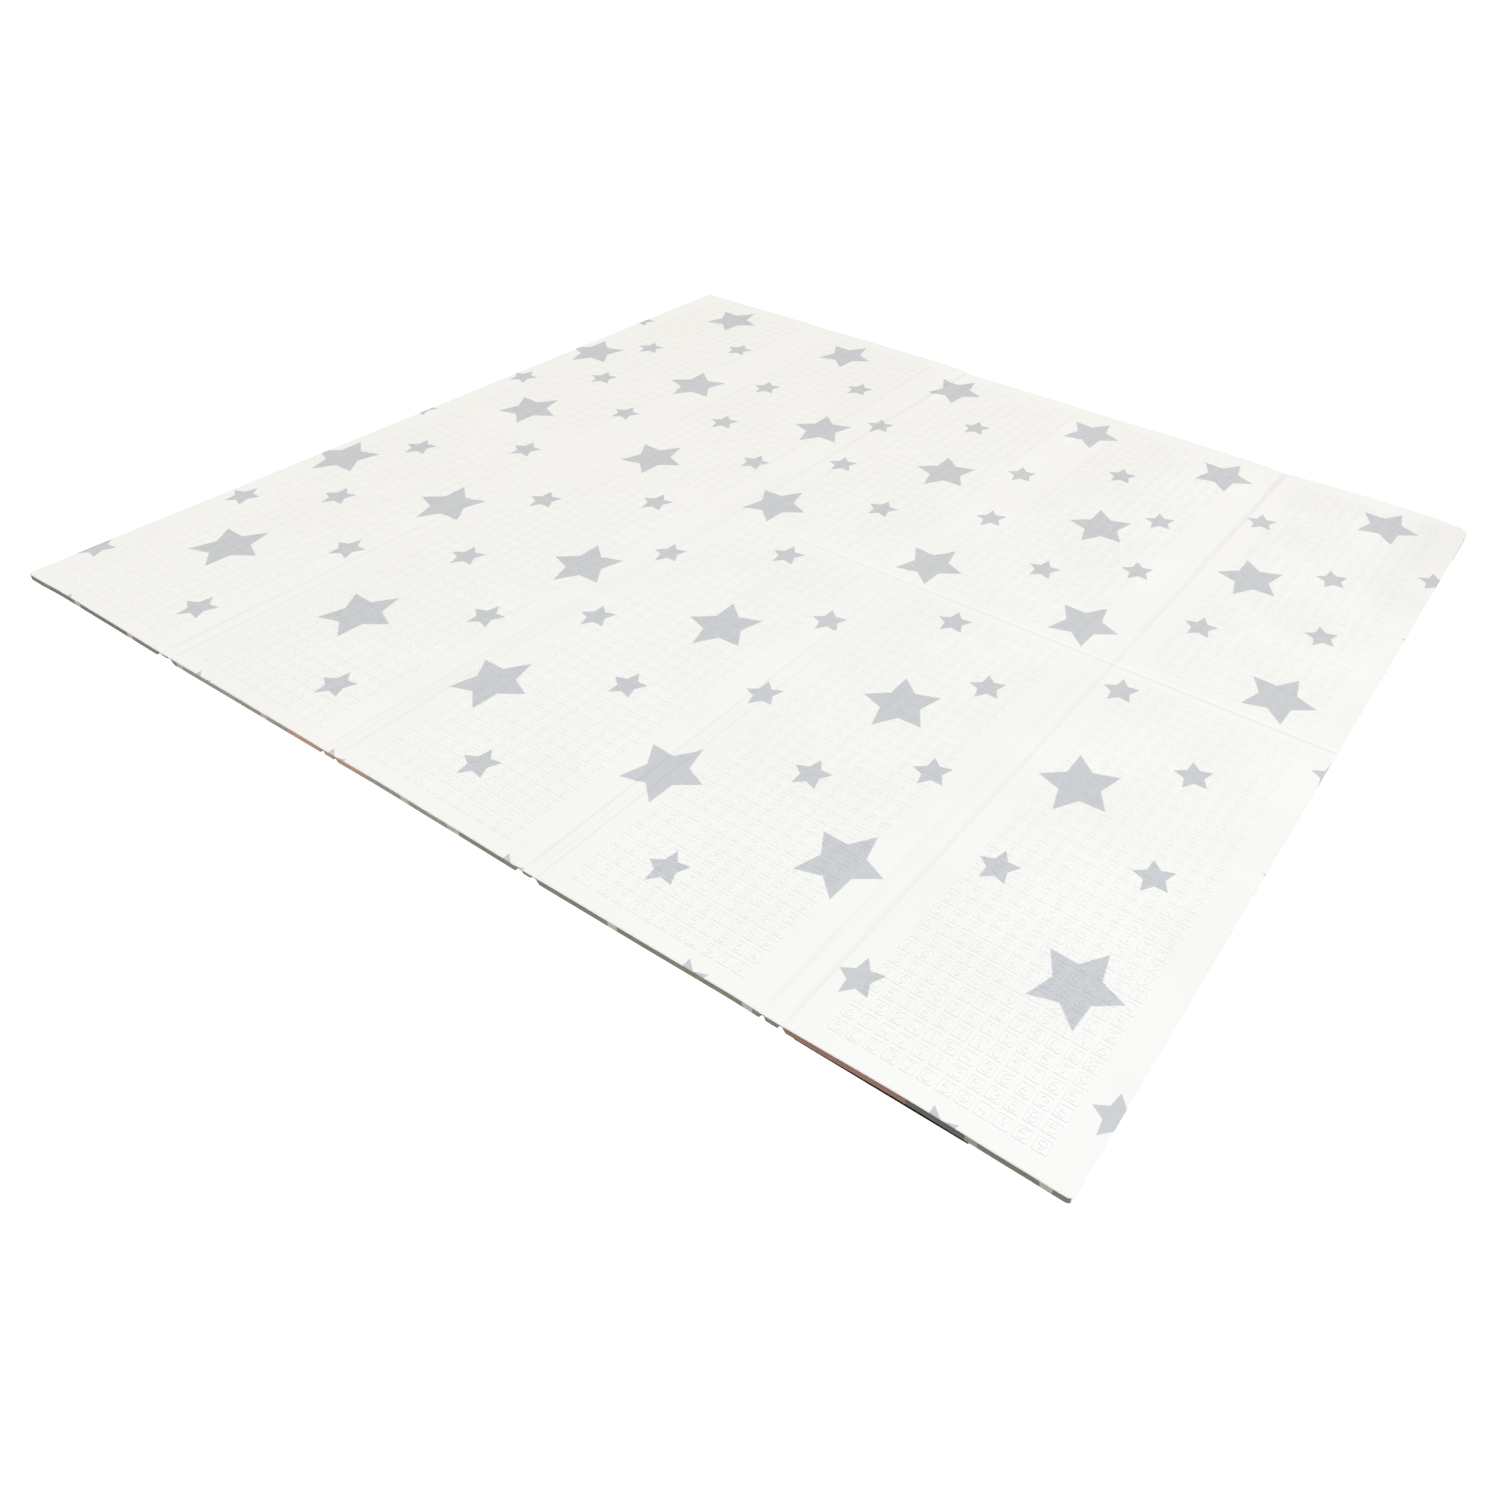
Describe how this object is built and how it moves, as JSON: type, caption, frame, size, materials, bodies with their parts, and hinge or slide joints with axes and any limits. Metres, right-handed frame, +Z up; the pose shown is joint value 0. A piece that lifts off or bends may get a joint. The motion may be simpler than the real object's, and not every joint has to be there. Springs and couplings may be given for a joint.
{
  "type": "folding foam baby play mat",
  "caption": "Flat foam play mat in hinged panels with narrow fold bands, a printed film face and rounded corners, laid open on the floor.",
  "frame": {"origin": "on the floor, under the middle of the mat's outline", "axes": "+X along the length, across the four fold bands; +Y along the width, away from the edge that faces the viewer; +Z up"},
  "size_m": [2, 1.8, 0.0198],
  "materials": {
    "film_on_foam": "matt warm white printed film, hot-pressed onto closed-cell foam"
  },
  "bodies": {
    "root": {"play_mat": "film_on_foam"}
  },
  "joints": []
}
